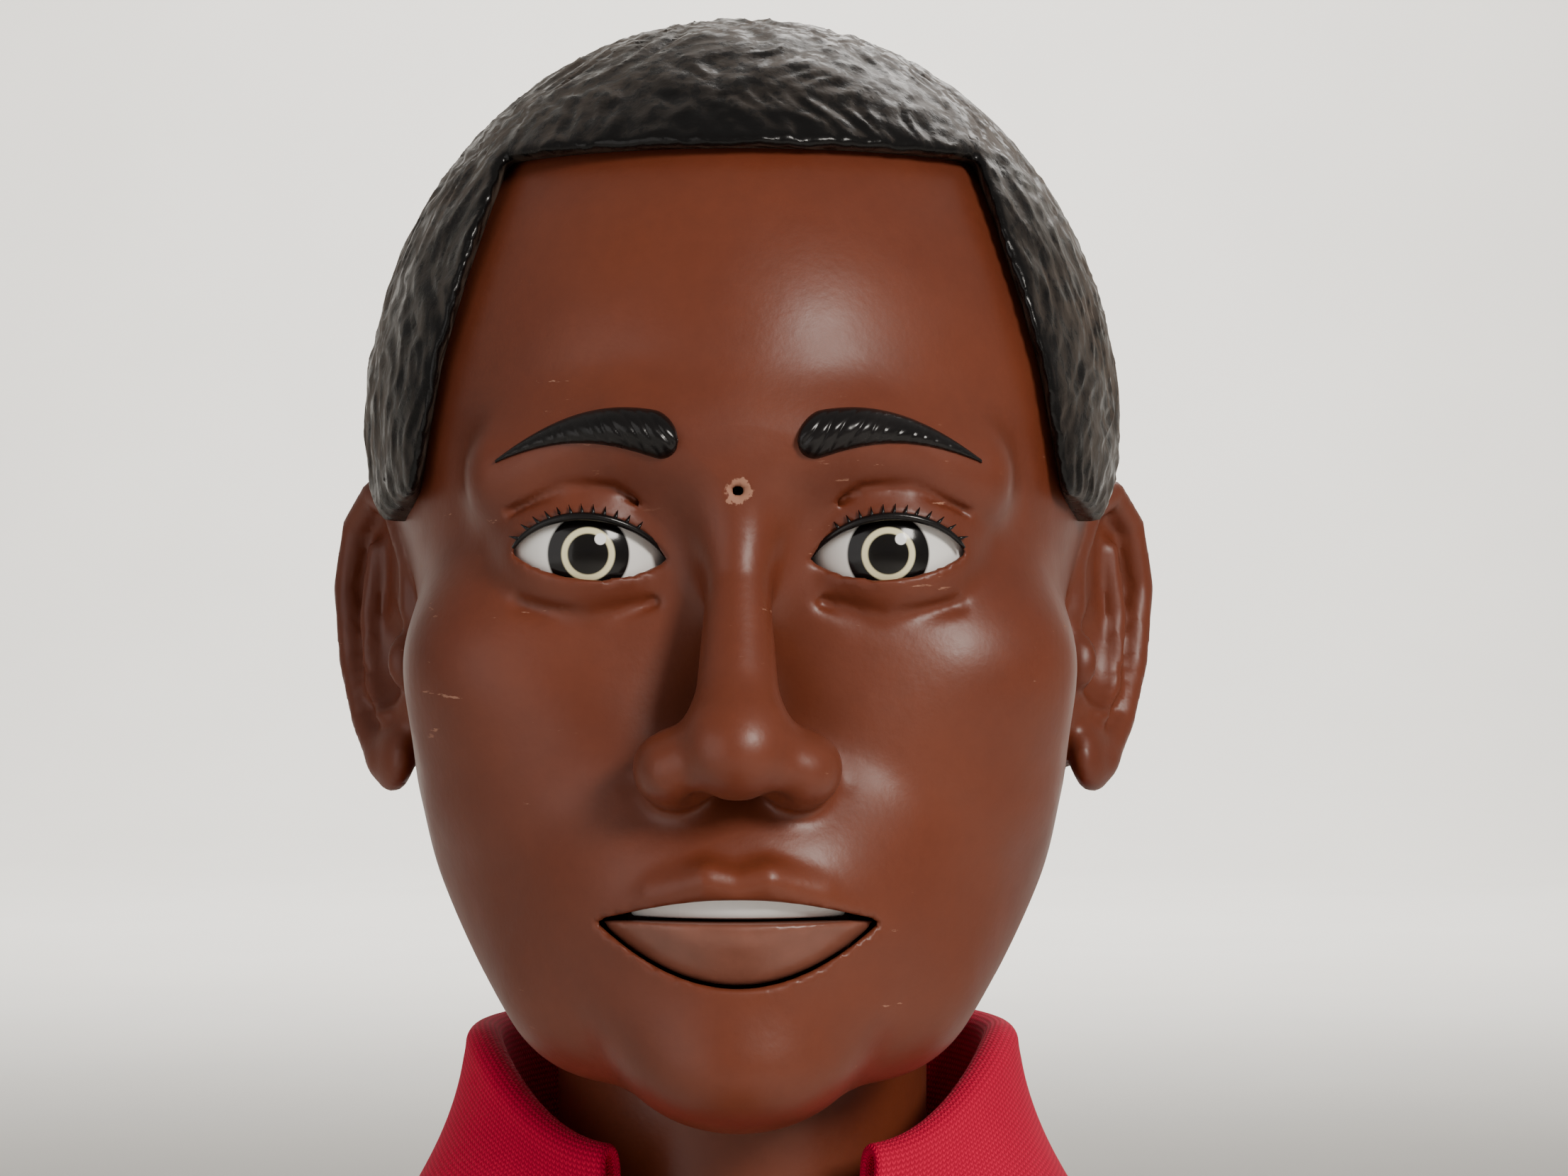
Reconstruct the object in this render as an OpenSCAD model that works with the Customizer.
// Ventriloquist dummy, sitting with its legs straight out in front.
// +Z is up, the face looks along -Y, and the origin is on the seat face, under the neck's axis.

/* [Head] */
// Height from the chin to the crown
head_h = 180; // [176:1:184]
// Width across the cheeks, without the ears
head_w = 116; // [112:1:118]
// Depth from the forehead to the back of the hair
head_d = 158; // [152:1:160]
// Thickness of the moulded head's wall
head_wall = 4; // [3:0.5:5]
// Thickness of the moulded hair
hair_t = 3.5; // [3:0.5:5]
// Radius of the neck
neck_r = 31; // [30:0.5:31]

/* [Body] */
// Height of the chin above the seat
chin_z = 285; // [284:1:292]
// Half width of the body's shell at the shoulders
torso_x = 66; // [64:1:68]
// Thickness of the body's shell
torso_wall = 4; // [3:0.5:5]
// Thickness of the shirt
shirt_t = 3; // [2:0.5:3.5]
// Radius of the control stick
stick_r = 9; // [8:0.5:10]

/* [Arms] */
// Shoulder to elbow
upper_arm_l = 86; // [80:1:88]
// Elbow to wrist
forearm_l = 70; // [64:1:72]
// Radius of the sleeve at the elbow
sleeve_r = 19; // [17:0.5:20]

/* [Legs] */
// Hip to knee
thigh_l = 150; // [130:1:170]
// Knee to ankle
shin_l = 140; // [120:1:160]
// Radius of the trouser leg at the knee
trouser_r = 29; // [27:0.5:30]
// Length of the shoe
shoe_l = 104; // [98:1:110]

/* [Hidden] */
NODES = [
    "head_shell", "hair_cap", "eyebrows", "eyes", "upper_teeth", "jaw_frame", "jaw_axle",
    "return_spring", "neck_plug", "head_stick", "stick_grip", "trigger_bracket", "trigger_pin",
    "jaw", "jaw_cross_pin", "pull_rod", "trigger", "neck_ring",
    "torso_shell", "neck_socket", "pelvis_block", "hip_rod", "shoulder_bolt_left",
    "shoulder_bolt_right", "shirt", "collar", "shirt_buttons", "trousers_seat", "belt",
    "belt_buckle",
    "upper_arm_left", "upper_sleeve_left", "elbow_pin_left", "forearm_left",
    "lower_sleeve_left", "hand_left",
    "upper_arm_right", "upper_sleeve_right", "elbow_pin_right", "forearm_right",
    "lower_sleeve_right", "hand_right",
    "thigh_left", "trouser_thigh_left", "knee_pin_left", "shin_left", "trouser_shin_left",
    "sock_left", "shoe_left", "sole_left",
    "thigh_right", "trouser_thigh_right", "knee_pin_right", "shin_right",
    "trouser_shin_right", "sock_right", "shoe_right", "sole_right",
];
node = "all";

$fn = 48;
fit = 0.05;            // radial clearance of a pin that turns in its hole
gap = 0.3;             // space between pieces that don't touch
skin = [0.38, 0.18, 0.12];
black = [0.05, 0.05, 0.05];
red = [0.75, 0.05, 0.10];
navy = [0.10, 0.12, 0.18];
wood = [0.75, 0.60, 0.42];
steel = [0.70, 0.70, 0.72];

// Heights of the head, from the chin up
crown_z = chin_z + head_h;
skull_h = 66;                           // half height of the skull's egg
skull_z = crown_z - hair_t - skull_h;
skull_y = 7;
cheek_z = chin_z + 50;
eye_z = chin_z + head_h / 2;            // eyes halfway up the head
brow_z = eye_z + 19;
mouth_z = chin_z + 34;
face_y = -70;                           // front of the face
eye_x = 23;
eye_r = 13;
hair_line_z = crown_z - 0.15 * head_h;
neck_top_z = chin_z + 21;               // where the neck ends inside the head

// Jaw: an axle high in the head, so that the lip drops down and inwards
axle_y = 20;
axle_z = chin_z + 87;
axle_r = 3;
lip_r = 105;                            // reach of the lower lip from the axle
lip_w = 46;
lip_low_z = chin_z + 22;
lip_top_z = mouth_z - 1;
arm_x = 14;                             // inner face of the jaw's side arms
arm_t = 3;
cross_pin_r = 1.5;

// Neck joint and control stick
nod_z = chin_z - 37;                    // height of the axis that the head nods about
ball_r = 29;
ring_h = 14.5;
neck_base_z = nod_z + 3.5;
plug_h = 12;
stick_top_z = neck_base_z + 20;
stick_low_z = 96;
stick_bore = 5;
trigger_z = 160;
trigger_arm = 13;                       // trigger pivot to pull rod
rod_r = 1.2;
eye_ring_r = 3.1;                       // middle radius of the rod's two end eyes
eye_wire_r = 0.7;
spring_l = 28;

// Body
shoulder_y = 2;
shoulder_z = 214;
chest_z = 192;
waist_z = 80;
socket_r = 37;
collar_r = 38.2;                        // inside of the collar
collar_open = 48;                       // half of the collar's opening at the throat, in degrees
collar_crest_z = chin_z + 11;
hip_y = -52;
hip_z = 38;
hip_x = 40;
hip_rod_r = 4;
pelvis_x = 60;
pelvis_front = -12;
pelvis_back = 48;
cloth = 4;                              // thickness of the trousers over the pelvis
belt_z = 92;

// Arms
shoulder_cap_r = 22;
sleeve_in_x = torso_x + 4.3;
arm_w = 40;
arm_x0 = sleeve_in_x + arm_w / 2;
bolt_r = 3;
arm_core = [12, 25, 7.5, 7, 6, 3, 10, 2.5];   // eye r, eye w, shaft r, knuckle r, tongue, ear, reach, pin r
hand_l = 52;

// Legs
leg_cap_r = 34;
leg_w = 64;
leg_core = [14, 40, 13, 11, 9, 4, 16, 3];
shin_r = 25;
heel_y = hip_z - 0.5;                   // how far the heel reaches behind the ankle
sole_z = -40;
sole_t = 6;
flex_half = 51;                         // half of the space left for a bending knee or elbow


// ---------- shared shapes ----------

module rod_x(r, w) rotate([0, 90, 0]) cylinder(r = r, h = w, center = true);

module rod_y(r, w) rotate([90, 0, 0]) cylinder(r = r, h = w, center = true);

module both_sides() for (side = [0, 1]) mirror([side, 0, 0]) children();

// A flat ring about the X axis
module eye_ring() rotate([0, 90, 0]) rotate_extrude($fn = 32)
    translate([eye_ring_r, 0]) circle(r = eye_wire_r, $fn = 16);

// Corner points of a rectangle with round corners, n steps to each corner
function round_rect(x0, x1, y0, y1, r, n = 6) = [
    for (c = [[x1 - r, y1 - r, 0], [x0 + r, y1 - r, 90], [x0 + r, y0 + r, 180], [x1 - r, y0 + r, 270]],
         i = [0:n])
        [c[0] + r * cos(c[2] + 90 * i / n), c[1] + r * sin(c[2] + 90 * i / n)]
];

// A plate in the YZ plane, centred on x = 0
module side_plate(t) rotate([90, 0, 90]) linear_extrude(t, center = true) children();

// A tube along a helix, from functions alone
function helix(r, h, turns, t) = [r * cos(360 * turns * t), r * sin(360 * turns * t), h * t];
module coil(r, wire, h, turns, steps = 16, sides = 6) {
    n = turns * steps;
    rise = atan(h / (turns * 2 * PI * r));
    points = [
        for (i = [0:n], k = [0:sides - 1])
            let (a = 360 * turns * i / n, b = 360 * k / sides, c = helix(r, h, turns, i / n),
                 out = wire * cos(b), up = wire * sin(b))
                [c[0] + out * cos(a) + up * sin(rise) * sin(a),
                 c[1] + out * sin(a) - up * sin(rise) * cos(a),
                 c[2] + up * cos(rise)]
    ];
    faces = concat(
        [[for (k = [0:sides - 1]) k]],
        [[for (k = [sides - 1:-1:0]) n * sides + k]],
        [for (i = [0:n - 1], k = [0:sides - 1])
            [i * sides + k, (i + 1) * sides + k,
             (i + 1) * sides + (k + 1) % sides, i * sides + (k + 1) % sides]]
    );
    polyhedron(points, faces, convexity = 10);
}


// ---------- head ----------

// The head's outer form without ears or neck, grown by g
module head_form(g = 0) hull() {
    translate([0, skull_y, skull_z])
        scale([head_w / 2 + 3 + g, head_d / 2 - hair_t + g, skull_h + g]) sphere(1, $fn = 32);
    both_sides() translate([head_w / 2 - 28, -28, cheek_z]) sphere(28 + g, $fn = 24);
    translate([0, -52, chin_z + 18.2]) sphere(18 + g, $fn = 24);
    both_sides() translate([14, 28, chin_z + 50]) sphere(28 + g, $fn = 24);
}

module ear() translate([head_w / 2 - 1, 8, eye_z - 8]) rotate([0, 12, -28])
    scale([5, 13, 26]) sphere(1, $fn = 20);

// Space that the jaw sweeps inside the face
module jaw_space() translate([0, axle_y, axle_z]) rod_x(lip_r + 0.6, lip_w + 2);

module head_shell() color(skin) difference() {
    union() {
        head_form();
        both_sides() ear();
        translate([0, 0, neck_base_z]) cylinder(r = neck_r, h = neck_top_z - neck_base_z);
    }
    head_form(-head_wall);
    // the mouth's pocket, from the mouth line down into the chin
    intersection() {
        jaw_space();
        translate([-lip_w / 2 - 1, -90, chin_z + 6]) cube([lip_w + 2, 60, mouth_z - chin_z - 4]);
    }
    // room around the neck for the collar
    translate([0, 0, neck_base_z - 1]) difference() {
        cylinder(r = collar_r + 11, h = collar_crest_z + 8 - neck_base_z + 1);
        cylinder(r = neck_r, h = 80);
    }
    translate([0, 0, neck_base_z - 1]) cylinder(r = neck_r - head_wall, h = 80);
    both_sides() translate([eye_x, face_y + 7, eye_z]) rod_y(eye_r + gap, 54);
}

// Cropped hair with a straight front, short sideburns and room for the ears
module hair_cap() color(black) difference() {
    head_form(hair_t);
    head_form(0.05);
    side_plate(300) polygon([
        [-150, 0], [-150, hair_line_z], [-44, hair_line_z], [-38, eye_z + 29], [-24, eye_z + 25],
        [-22, eye_z], [-9, eye_z], [-7, eye_z + 27], [22, eye_z + 27], [27, eye_z - 5],
        [27, chin_z + 58], [150, chin_z + 58], [150, 0]
    ]);
}

module eyebrows() color(black) both_sides() intersection() {
    difference() {
        head_form(2.5);
        head_form(0.05);
    }
    translate([eye_x + 1, -60, brow_z]) rotate([0, 6, 0]) cube([26, 60, 5], center = true);
}

module eyes() color("white") both_sides() translate([eye_x, face_y + 20, eye_z])
    sphere(r = eye_r);

// A curved strip behind the upper lip
module upper_teeth() color("white") translate([0, 0, mouth_z - 0.5]) linear_extrude(6) polygon([
    for (a = [-30:5:30]) [31 * sin(a), -42.5 - 20 * cos(a)],
    for (a = [30:-5:-30]) [27 * sin(a), -37.5 - 20 * cos(a)]
]);

// Wooden mast on the neck plug, with two uprights that carry the jaw's axle
module jaw_frame() color(wood) difference() {
    base = neck_base_z + plug_h;
    bar_z = neck_top_z + 9;
    union() {
        translate([-7, 13, base]) cube([14, 7, bar_z + 1 - base]);
        translate([-22, 13, bar_z]) cube([44, 14, 8]);
        both_sides() translate([18.5, 13, bar_z]) cube([3.5, 14, axle_z + 10 - bar_z]);
    }
    translate([0, axle_y, axle_z]) rod_x(axle_r + 0.02, 60);
}

module jaw_axle() color(steel) translate([0, axle_y, axle_z]) rod_x(axle_r, 52);

// The lower lip, the mouth's floor behind it and two arms up to the axle
module jaw() color(skin) difference() {
    union() {
        intersection() {
            translate([0, axle_y, axle_z]) difference() {
                rod_x(lip_r, lip_w);
                rod_x(lip_r - 7, lip_w + 1);
            }
            translate([-lip_w / 2, -90, lip_low_z]) cube([lip_w, 60, lip_top_z - lip_low_z]);
        }
        translate([-arm_x - arm_t, -62, lip_low_z]) cube([2 * (arm_x + arm_t), 12, 4]);
        both_sides() translate([arm_x + arm_t / 2, 0, 0]) side_plate(arm_t) {
            polygon([[axle_y - 3, axle_z - 6.5], [axle_y, axle_z + 6], [-5, axle_z + 4.8],
                     [-55, lip_low_z + 9], [-64, lip_low_z + 8], [-62, lip_low_z], [-50, lip_low_z]]);
            translate([axle_y, axle_z]) circle(r = 7);
        }
    }
    translate([0, axle_y, axle_z]) rod_x(axle_r + fit, 60);
    translate([0, 0, axle_z]) rod_x(cross_pin_r + 0.02, 60);
}

module jaw_cross_pin() color(steel) translate([0, 0, axle_z]) rod_x(cross_pin_r, 2 * (arm_x + arm_t));

module neck_plug() color(wood) translate([0, 0, neck_base_z]) difference() {
    cylinder(r = neck_r - head_wall - 0.02, h = plug_h);
    translate([0, 0, -1]) cylinder(r = stick_r + 0.02, h = plug_h + 2);
}


// ---------- control stick ----------

module head_stick() color(wood) difference() {
    translate([0, 0, stick_low_z]) cylinder(r = stick_r, h = stick_top_z - stick_low_z);
    translate([0, 0, trigger_z - 20]) cylinder(r = stick_bore, h = 200);
    translate([-3.2, -20, trigger_z - 9]) cube([6.4, 20, 18]);
}

module stick_grip() color(black) translate([0, 0, stick_low_z + 3]) difference() {
    cylinder(r = stick_r + 4, h = 44);
    translate([0, 0, -1]) cylinder(r = stick_r + 0.02, h = 60);
}

module trigger_bracket() color(steel) translate([0, 0, trigger_z]) difference() {
    union() {
        cylinder(r = stick_r + 2.5, h = 26, center = true);
        translate([-7, -trigger_arm - 5, -9]) cube([14, trigger_arm, 18]);
    }
    cylinder(r = stick_r + 0.02, h = 30, center = true);
    translate([-3.2, -trigger_arm - 10, -15]) cube([6.4, trigger_arm + 10, 30]);
    translate([0, -trigger_arm, 0]) rod_x(2.02, 30);
}

module trigger_pin() color(steel) translate([0, -trigger_arm, trigger_z]) rod_x(2, 16);

// A lever across the stick: the finger plate in front, the pull rod's pin behind
module trigger() color("gold") translate([0, -trigger_arm, trigger_z]) difference() {
    union() {
        rod_x(4.5, 5.4);
        translate([-2.7, -11, -2.5]) cube([5.4, 8, 5]);
        translate([-5, -13, -9]) cube([10, 3, 16]);
        both_sides() translate([1.5, 0, -2.5]) cube([1.2, trigger_arm + 2, 5]);
        translate([0, trigger_arm, 0]) rod_x(rod_r, 5.4);
    }
    rod_x(2 + fit, 20);
}

module pull_rod() color(steel) {
    translate([0, 0, trigger_z]) eye_ring();
    translate([0, 0, axle_z]) eye_ring();
    translate([0, 0, trigger_z + eye_ring_r])
        cylinder(r = rod_r, h = axle_z - trigger_z - 2 * eye_ring_r);
    translate([0, 0, stick_top_z + spring_l + 0.8]) cylinder(r = 6, h = 3);
}

module return_spring() color(steel) translate([0, 0, stick_top_z + 0.8])
    coil(r = 6, wire = 0.6, h = spring_l - 0.8, turns = 7);


// ---------- neck joint ----------

module neck_ring() color("white") difference() {
    intersection() {
        translate([0, 0, nod_z]) sphere(r = ball_r);
        translate([0, 0, nod_z + 3.2 - ring_h]) cylinder(r = 40, h = ring_h);
    }
    translate([0, 0, nod_z - 30]) cylinder(r = stick_r + 0.08, h = 60);
}

module neck_socket() color(wood) difference() {
    translate([0, 0, nod_z - 12]) cylinder(r = socket_r, h = 11);
    translate([0, 0, nod_z]) sphere(r = ball_r + gap);
}


// ---------- body ----------

// The body's outer form above the waist, grown by g
module torso_form(g = 0) hull() {
    translate([0, 0, nod_z - 10]) cylinder(r = socket_r + 3 + g, h = 7 + g, $fn = 32);
    both_sides() {
        translate([torso_x - 22, shoulder_y, shoulder_z]) sphere(22 + g, $fn = 28);
        for (y = [-10, 13]) {
            translate([30, y, chest_z]) sphere(34 + g, $fn = 28);
            translate([27, y - 3, waist_z + 20]) cylinder(r = 34 + g, h = 20, $fn = 28);
            translate([27, y - 3, waist_z - g]) cylinder(r = 30 + g, h = 20, $fn = 28);
        }
    }
}

// The slot in the back that the operator's hand goes through
module hand_slot() translate([0, 50, 145]) {
    for (z = [-22, 22]) translate([0, 0, z]) rod_y(26, 60);
    cube([52, 60, 44], center = true);
}

module torso_shell() color([0.8, 0.75, 0.65]) difference() {
    torso_form();
    torso_form(-torso_wall);
    translate([0, 0, nod_z - 15]) cylinder(r = socket_r + 0.02, h = 40);
    hand_slot();
    translate([0, shoulder_y, shoulder_z]) rod_x(bolt_r + 0.02, 200);
}

module pelvis_block() color(wood) difference() {
    union() {
        translate([0, 0, cloth]) linear_extrude(waist_z - cloth - gap)
            polygon(round_rect(-pelvis_x, pelvis_x, pelvis_front, pelvis_back, 14));
        translate([-5.5, hip_y, hip_z - 12]) cube([11, pelvis_front - hip_y + 5, 24]);
        translate([0, hip_y, hip_z]) rod_x(12, 11);
    }
    translate([0, hip_y, hip_z]) rod_x(hip_rod_r + 0.02, 40);
}

module hip_rod() color(steel) translate([0, hip_y, hip_z]) rod_x(hip_rod_r, 2 * (hip_x + 27));

// Bolt that an arm swings on: its head is inside the body, its nut inside the sleeve
module shoulder_bolt(side) color(steel) mirror([side, 0, 0])
    translate([0, shoulder_y, shoulder_z]) {
        tip = arm_x0 + 17;
        translate([(torso_x - torso_wall - 4 + tip) / 2, 0, 0])
            rod_x(bolt_r, tip - torso_x + torso_wall + 4);
        translate([torso_x - torso_wall - 3, 0, 0]) rod_x(6, 3);
        translate([tip - 2, 0, 0]) rod_x(5.5, 3);
    }

module shirt() color(red) difference() {
    torso_form(gap + shirt_t);
    torso_form(gap);
    translate([0, 0, nod_z - 15]) cylinder(r = socket_r + 0.5, h = 60);
    hand_slot();
    translate([0, shoulder_y, shoulder_z]) rod_x(bolt_r + 1, 200);
    translate([0, 0, belt_z - 50]) cube([300, 300, 100], center = true);
}

// Band, stand and fall of the collar: a ring, and above it a turned section open at the throat
module collar() color(red) {
    base = nod_z - 3 + gap + shirt_t + 0.02;
    translate([0, 0, base]) difference() {
        cylinder(r = collar_r + 2.6, h = 8);
        translate([0, 0, -1]) cylinder(r = collar_r, h = 20);
    }
    rotate([0, 0, collar_open - 90]) rotate_extrude(angle = 360 - 2 * collar_open, $fn = 72) polygon([
        [collar_r, base + 7], [collar_r, collar_crest_z - 3], [collar_r + 2, collar_crest_z],
        [collar_r + 5, collar_crest_z], [collar_r + 8, collar_crest_z - 5],
        [collar_r + 20, base + 12], [collar_r + 18, base + 10], [collar_r + 5, collar_crest_z - 9],
        [collar_r + 2.6, collar_crest_z - 13], [collar_r + 2.6, base + 7]
    ]);
}

module shirt_buttons() color("white") for (z = [168, 190, 212]) intersection() {
    translate([0, -60, z]) rod_y(4.5, 60);
    difference() {
        torso_form(gap + shirt_t + 1.8);
        torso_form(gap + shirt_t);
    }
}

// Trousers over the pelvis: the seat, and a band around the belly above the thighs
module trousers_seat() color(navy) difference() {
    union() {
        linear_extrude(waist_z - 3) polygon(round_rect(
            -pelvis_x - cloth, pelvis_x + cloth, pelvis_front - cloth, pelvis_back + cloth, 18));
        intersection() {
            torso_form(gap + cloth + 1);
            translate([-100, -100, waist_z - 3.01]) cube([200, 200, belt_z - waist_z + 3]);
        }
    }
    translate([0, 0, cloth]) linear_extrude(waist_z) polygon(
        round_rect(-pelvis_x, pelvis_x, pelvis_front, pelvis_back, 14));
    intersection() {
        torso_form(gap);
        translate([-100, -100, waist_z - gap]) cube([200, 200, 60]);
    }
    translate([-6, pelvis_front - 20, hip_z - 13]) cube([12, 30, 26]);
}

module belt() color(black) intersection() {
    difference() {
        torso_form(gap + shirt_t + 3.5);
        torso_form(gap + shirt_t + 0.1);
    }
    translate([-100, -100, belt_z]) cube([200, 200, 14]);
}

module belt_buckle() color("gold") intersection() {
    difference() {
        torso_form(gap + shirt_t + 5.5);
        torso_form(gap + shirt_t + 3.6);
    }
    translate([0, -60, belt_z + 7]) difference() {
        cube([26, 60, 20], center = true);
        cube([18, 61, 12], center = true);
    }
}


// ---------- limbs, hanging down from a joint at the origin ----------

// What a bending joint leaves free, dir 1 above the lower limb and -1 below the upper limb
module flex_space(dir, flex) {
    reach = 60;
    side_plate(160) polygon([
        [-flex * reach, -2 * dir], [0, -2 * dir], [flex * reach, -dir * (2 + reach * tan(flex_half))],
        [flex * reach, dir * reach], [-flex * reach, dir * reach]
    ]);
}

module upper_core(len, c, bore) color(wood) difference() {
    outer = c[4] / 2 + gap + c[5];
    union() {
        rod_x(c[0], c[1]);
        translate([0, 0, -len + c[6]]) cylinder(r = c[2], h = len - c[6]);
        both_sides() translate([outer - c[5], -c[3], -len]) cube([c[5], 2 * c[3], c[6] + 1]);
        both_sides() translate([outer - c[5] / 2, 0, -len]) rod_x(c[3], c[5]);
    }
    rod_x(bore, 200);
    translate([0, 0, -len]) rod_x(c[7] + 0.02, 200);
}

module lower_core(len, c, peg) color(wood) difference() {
    union() {
        rod_x(c[3], c[4]);
        translate([-c[4] / 2, -c[3], -c[6] - 1]) cube([c[4], 2 * c[3], c[6] + 1]);
        translate([0, 0, -len - peg]) cylinder(r = c[2] - 1, h = len + peg - c[6]);
    }
    rod_x(c[7] + fit, 200);
}

module joint_pin(c) color(steel) rod_x(c[7], c[4] + 2 * (gap + c[5]));

// Padded cloth of an upper limb: a round cap about the joint and a tapering tube
module upper_soft(len, c, cap_r, w, end_r, flex, bore) difference() {
    union() {
        rod_x(cap_r, w);
        translate([0, 0, -len]) cylinder(r1 = end_r, r2 = w / 2, h = len);
    }
    rod_x(c[0] + gap, c[1] + 2 * gap);
    rod_x(bore, 200);
    translate([0, 0, -len - 1]) cylinder(r = c[2] + gap, h = len);
    translate([0, 0, -len]) {
        flex_space(-1, flex);
        rod_x(c[3] + 1.5, c[4] + 2 * c[5] + 2);
        cube([c[4] + 2 * c[5] + 4 * gap, 2 * (c[3] + gap), 2 * c[6] + 3], center = true);
    }
}

module lower_soft(len, c, top_r, end_r, flex, recess) difference() {
    translate([0, 0, -len]) cylinder(r1 = end_r, r2 = top_r, h = len);
    translate([0, 0, -len - 1]) cylinder(r = c[2] - 1 + gap, h = len + 2);
    flex_space(1, flex);
    rod_x(c[3] + 1.5, c[4] + 2 * c[5] + 2);
    cube([c[4] + 2 * gap, 2 * (c[3] + gap), 2 * c[6] + 3], center = true);
    translate([0, 0, -len - 1]) cylinder(r = recess, h = 13);
}

// A loosely curled hand, thumb forward, palm towards the body
module hand() color(skin) difference() {
    union() {
        hull() {
            translate([0, 0, 4]) scale([0.8, 1, 1]) cylinder(r = 10, h = 6, center = true, $fn = 16);
            for (y = [-9, 9]) translate([0, y, -22]) scale([0.7, 1, 1]) sphere(8, $fn = 16);
        }
        for (i = [0:3]) hull() {
            translate([0, -11.5 + 7.5 * i, -22]) sphere(4, $fn = 12);
            translate([-3, -11 + 7 * i, -hand_l + 4 + 2.5 * abs(i - 1.3)]) sphere(3.6, $fn = 12);
        }
        hull() {
            translate([-1, -10, -8]) sphere(5, $fn = 12);
            translate([-5, -19, -27]) sphere(4, $fn = 12);
        }
    }
    translate([0, 0, -8]) cylinder(r = arm_core[2] - 1 + 0.02, h = 40);
}

module sock() color(black) difference() {
    translate([0, 0, -10]) cylinder(r = 17, h = 24);
    translate([0, 0, -20]) cylinder(r = leg_core[2] - 1 + 0.02, h = 60);
}

module shoe() color(black) difference() {
    toe_y = heel_y - shoe_l;
    hull() {
        translate([0, heel_y - 22.5, -18]) sphere(22, $fn = 24);
        translate([0, toe_y + 20, -27]) sphere(19.5, $fn = 24);
        translate([0, -10, -8]) sphere(18, $fn = 24);
        translate([0, 6, 2]) cylinder(r = 21, h = 4, $fn = 24);
    }
    translate([-50, -100, sole_z - 20]) cube([100, 200, 20 + sole_t]);
    translate([0, 0, -10]) cylinder(r = 17.02, h = 40);
    translate([0, 0, -22]) cylinder(r = leg_core[2] - 1 + 0.02, h = 40);
}

module sole() color(black) translate([0, 0, sole_z]) linear_extrude(sole_t - 0.02) {
    r = 22.5;
    translate([0, heel_y - r]) circle(r = r);
    translate([0, heel_y - shoe_l + r - 1]) circle(r = r);
    translate([-r, heel_y - shoe_l + r - 1]) square([2 * r, shoe_l - 2 * r + 1]);
}


// ---------- places of the limbs ----------

module at_shoulder(side) mirror([side, 0, 0]) translate([arm_x0, shoulder_y, shoulder_z]) children();

module at_elbow(side) at_shoulder(side) translate([0, 0, -upper_arm_l]) children();

module at_wrist(side) at_elbow(side) translate([0, 0, -forearm_l]) children();

// Legs point forwards, so a limb that hangs down is turned a quarter turn
module at_hip(side) mirror([side, 0, 0]) translate([hip_x, hip_y, hip_z]) rotate([-90, 0, 0]) children();

module at_knee(side) at_hip(side) translate([0, 0, -thigh_l]) children();

module at_ankle(side) at_knee(side) translate([0, 0, -shin_l]) children();

module arm_parts(side, name) {
    c = arm_core;
    if (show(str("upper_arm_", name))) at_shoulder(side) upper_core(upper_arm_l, c, bolt_r + fit);
    if (show(str("upper_sleeve_", name))) color(red) at_shoulder(side)
        upper_soft(upper_arm_l, c, shoulder_cap_r, arm_w, sleeve_r, -1, 6.5);
    if (show(str("elbow_pin_", name))) at_elbow(side) joint_pin(c);
    if (show(str("forearm_", name))) at_elbow(side) lower_core(forearm_l, c, 6);
    if (show(str("lower_sleeve_", name))) color(red) at_elbow(side)
        lower_soft(forearm_l - 2, c, sleeve_r, 15, -1, 12);
    if (show(str("hand_", name))) at_wrist(side) hand();
}

module leg_parts(side, name) {
    c = leg_core;
    if (show(str("thigh_", name))) at_hip(side) upper_core(thigh_l, c, hip_rod_r + fit);
    if (show(str("trouser_thigh_", name))) color(navy) at_hip(side)
        upper_soft(thigh_l, c, leg_cap_r, leg_w, trouser_r, 1, hip_rod_r + 0.6);
    if (show(str("knee_pin_", name))) at_knee(side) joint_pin(c);
    if (show(str("shin_", name))) at_knee(side) lower_core(shin_l, c, 20);
    if (show(str("trouser_shin_", name))) color(navy) at_knee(side)
        lower_soft(shin_l - 10, c, trouser_r, shin_r, 1, 17.4);
    if (show(str("sock_", name))) at_ankle(side) sock();
    if (show(str("shoe_", name))) at_ankle(side) shoe();
    if (show(str("sole_", name))) at_ankle(side) sole();
}

function show(name) = node == "all" || node == name;

if (show("head_shell")) head_shell();
if (show("hair_cap")) hair_cap();
if (show("eyebrows")) eyebrows();
if (show("eyes")) eyes();
if (show("upper_teeth")) upper_teeth();
if (show("jaw_frame")) jaw_frame();
if (show("jaw_axle")) jaw_axle();
if (show("return_spring")) return_spring();
if (show("neck_plug")) neck_plug();
if (show("head_stick")) head_stick();
if (show("stick_grip")) stick_grip();
if (show("trigger_bracket")) trigger_bracket();
if (show("trigger_pin")) trigger_pin();
if (show("jaw")) jaw();
if (show("jaw_cross_pin")) jaw_cross_pin();
if (show("pull_rod")) pull_rod();
if (show("trigger")) trigger();
if (show("neck_ring")) neck_ring();
if (show("torso_shell")) torso_shell();
if (show("neck_socket")) neck_socket();
if (show("pelvis_block")) pelvis_block();
if (show("hip_rod")) hip_rod();
if (show("shoulder_bolt_left")) shoulder_bolt(0);
if (show("shoulder_bolt_right")) shoulder_bolt(1);
if (show("shirt")) shirt();
if (show("collar")) collar();
if (show("shirt_buttons")) shirt_buttons();
if (show("trousers_seat")) trousers_seat();
if (show("belt")) belt();
if (show("belt_buckle")) belt_buckle();
arm_parts(0, "left");
arm_parts(1, "right");
leg_parts(0, "left");
leg_parts(1, "right");
